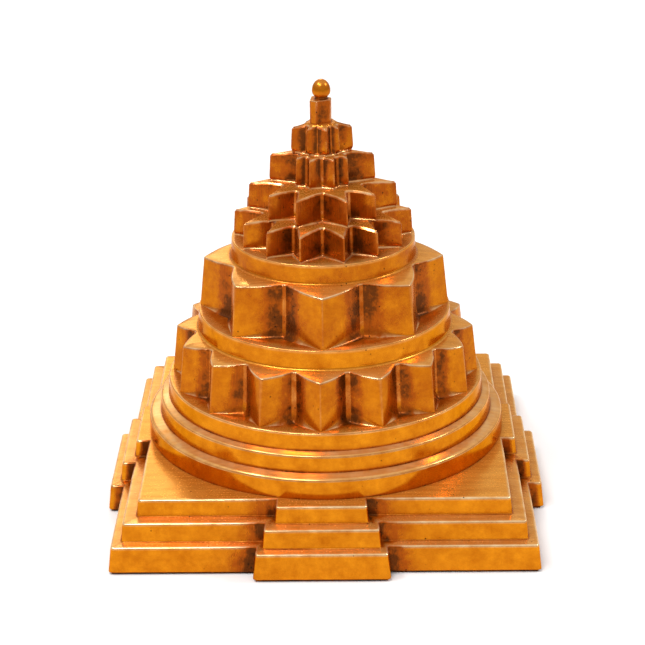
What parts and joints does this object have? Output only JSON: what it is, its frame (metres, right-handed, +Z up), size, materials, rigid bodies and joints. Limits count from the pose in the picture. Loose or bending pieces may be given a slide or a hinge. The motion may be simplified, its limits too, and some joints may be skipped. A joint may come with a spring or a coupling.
{
  "type": "meru shri yantra",
  "caption": "Stepped pyramid of cast brass tiers for worship: gated square base, round girdles, petalled lotuses, pointed stars and a ball on a small prism, clamped on a hidden rod.",
  "frame": {"origin": "middle of the underside, on the axis of the stack", "axes": "+Z up along the axis of the stack, the front gate towards -Y, +X to the right seen from the front"},
  "size_m": [0.1472, 0.1498, 0.1439],
  "materials": {
    "polished_copper_brass": "satin polished cast brass, rich in copper",
    "drawn_brass": "drawn bar, dull"
  },
  "bodies": {
    "root": {"lower_bhupura_step": "polished_copper_brass", "middle_bhupura_step": "polished_copper_brass", "upper_bhupura_step": "polished_copper_brass", "lower_girdle": "polished_copper_brass", "middle_girdle": "polished_copper_brass", "upper_girdle": "polished_copper_brass", "sixteen_petal_lotus": "polished_copper_brass", "eight_lotus_dais": "polished_copper_brass", "eight_petal_lotus": "polished_copper_brass", "star_dais": "polished_copper_brass", "fourteen_point_star": "polished_copper_brass", "outer_ten_point_star": "polished_copper_brass", "inner_ten_point_star": "polished_copper_brass", "eight_point_star": "polished_copper_brass", "trikona_block": "polished_copper_brass", "bindu": "polished_copper_brass", "tie_rod": "drawn_brass", "clamp_washer": "drawn_brass", "clamp_nut": "drawn_brass", "locating_pins": "drawn_brass"}
  },
  "joints": []
}
